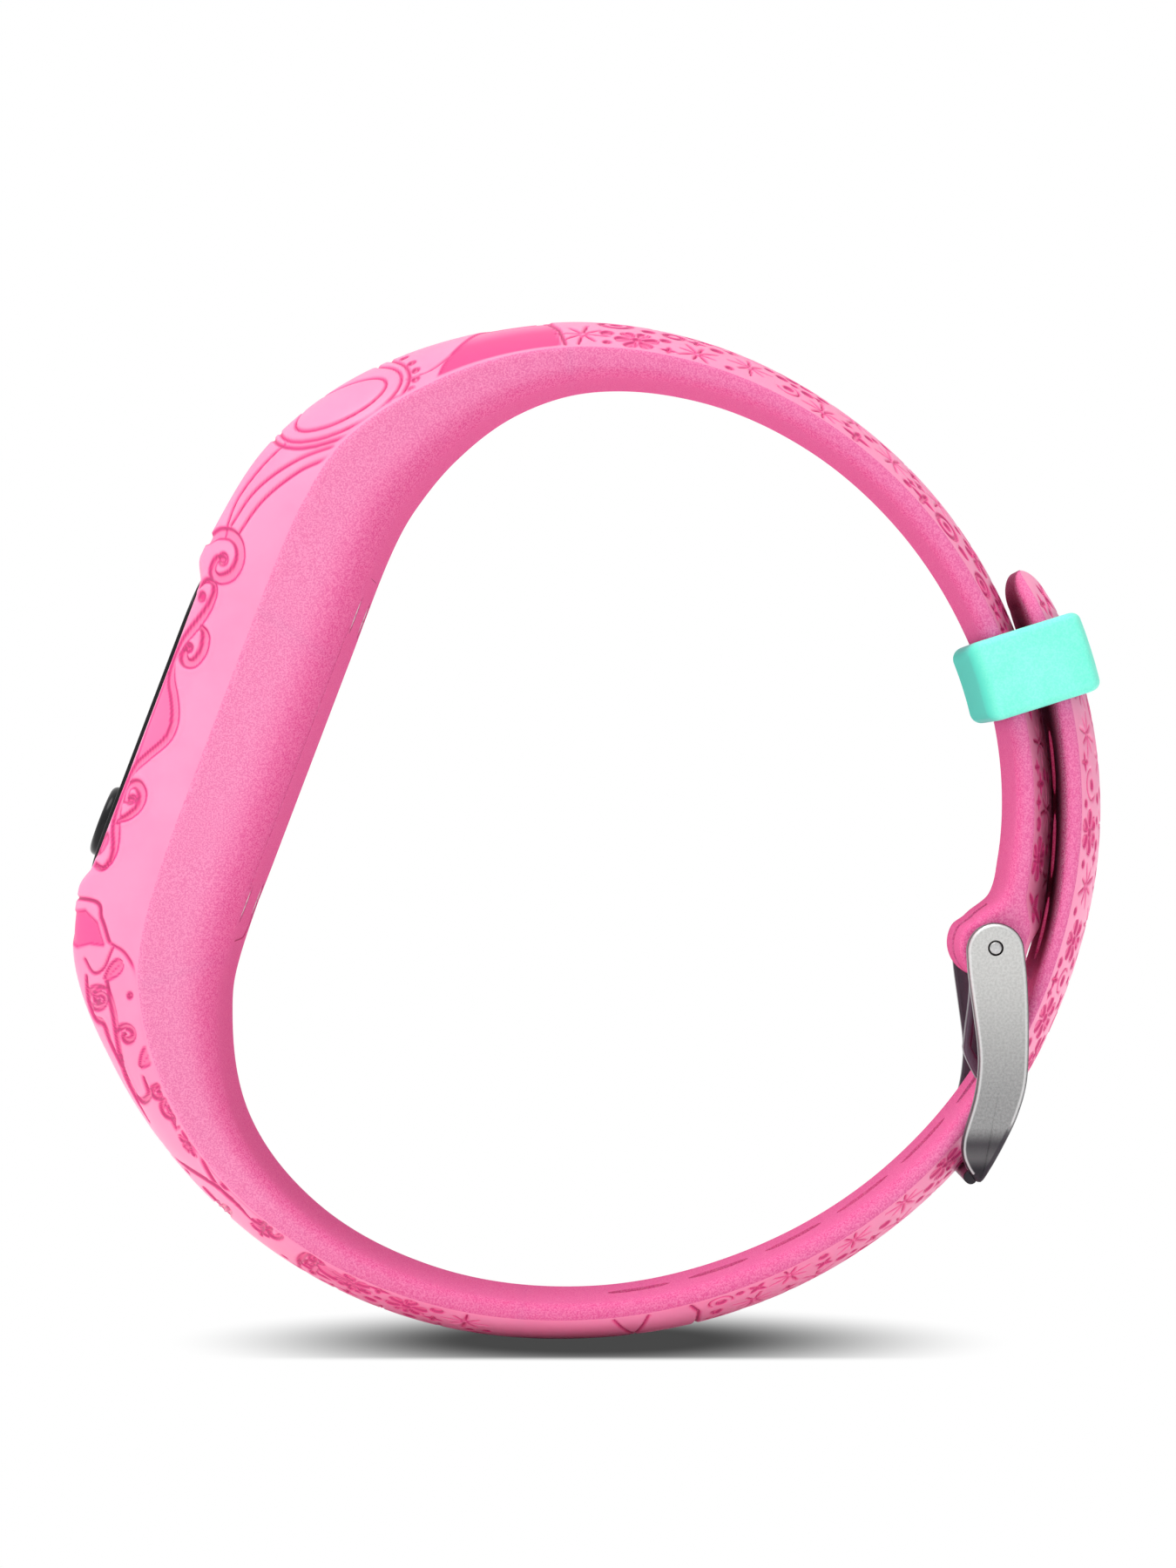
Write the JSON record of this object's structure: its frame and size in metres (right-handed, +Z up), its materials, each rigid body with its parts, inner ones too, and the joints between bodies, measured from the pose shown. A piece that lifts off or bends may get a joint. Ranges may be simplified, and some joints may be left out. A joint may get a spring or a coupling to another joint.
{
  "type": "fitness tracker band",
  "caption": "Closed silicone wristband with a push-out tracker pod, display lens and front button, steel tongue buckle on a spring bar, and a sliding keeper loop.",
  "frame": {"origin": "middle of the wrist opening, at the middle of the band's width, where the wrist's axis passes", "axes": "+Y along the wrist's axis, across the band; +X from the wrist towards the buckle; +Z up with the band standing on its edge-on view, and the display facing -X and a little +Z"},
  "size_m": [0.0595, 0.0216, 0.0591],
  "materials": {
    "pink_silicone": "satin",
    "mint_silicone": "satin",
    "black_plastic": "gloss",
    "case_plastic": "fine moulded grain",
    "cover_pink": "fine moulded grain",
    "buckle_steel": "bead blasted",
    "pin_steel": "satin",
    "cell_steel": "bright",
    "contact_brass": "bright",
    "board_green": "solder mask",
    "chip_black": "matte",
    "display_glass": "polished",
    "flex_amber": "satin",
    "tray_white": "matte",
    "seal_grey": "matte",
    "adhesive_white": "matte"
  },
  "bodies": {
    "band": {"silicone_band": "pink_silicone", "spring_bar_tube": "pin_steel", "spring_bar_coil": "pin_steel"},
    "tracker": {"front_case": "case_plastic", "display_lens": "black_plastic", "lens_adhesive": "adhesive_white", "display_panel": "display_glass", "display_flex": "flex_amber", "display_holder": "tray_white", "circuit_board": "board_green", "radio_chip": "chip_black", "motion_sensor": "chip_black", "clock_crystal": "cell_steel", "antenna": "contact_brass", "dome_switch": "cell_steel", "battery_tray": "tray_white", "coin_cell": "cell_steel", "positive_contact": "contact_brass", "negative_contact": "contact_brass", "case_seal": "seal_grey", "back_cover": "cover_pink", "cover_screws": "pin_steel"},
    "button": {"button_cap": "black_plastic", "button_seal": "seal_grey"},
    "keeper": {"keeper_loop": "mint_silicone"},
    "buckle": {"buckle_frame": "buckle_steel"},
    "tongue": {"buckle_tongue": "buckle_steel"},
    "bar_tip_near": {"spring_bar_tip_near": "pin_steel"},
    "bar_tip_far": {"spring_bar_tip_far": "pin_steel"}
  },
  "joints": [
    {"name": "tracker_push_out", "type": "slide", "parent": "band", "child": "tracker", "axis": [0.9348, 0, -0.3551], "range_m": [0, 0.012]},
    {"name": "button_press", "type": "slide", "parent": "tracker", "child": "button", "axis": [0.9348, 0, -0.3551], "range_m": [0, 0.0004], "stiffness_N_per_m": 1500},
    {"name": "keeper_slide", "type": "hinge", "parent": "band", "child": "keeper", "pos_m": [0.00095, 0, 0.0017], "axis": [0, -1, 0], "range_deg": [-20, 4]},
    {"name": "buckle_lift", "type": "hinge", "parent": "band", "child": "buckle", "pos_m": [0.02335, 0, -0.00665], "axis": [0, -1, 0], "range_deg": [0, 4]},
    {"name": "tongue_lift", "type": "hinge", "parent": "buckle", "child": "tongue", "pos_m": [0.02335, 0, -0.00665], "axis": [0, -1, 0], "range_deg": [0, 3]},
    {"name": "bar_tip_near_press", "type": "slide", "parent": "band", "child": "bar_tip_near", "axis": [0, 1, 0], "range_m": [0, 0.0008], "stiffness_N_per_m": 400},
    {"name": "bar_tip_far_press", "type": "slide", "parent": "band", "child": "bar_tip_far", "axis": [0, -1, 0], "range_m": [0, 0.0008], "stiffness_N_per_m": 400}
  ]
}
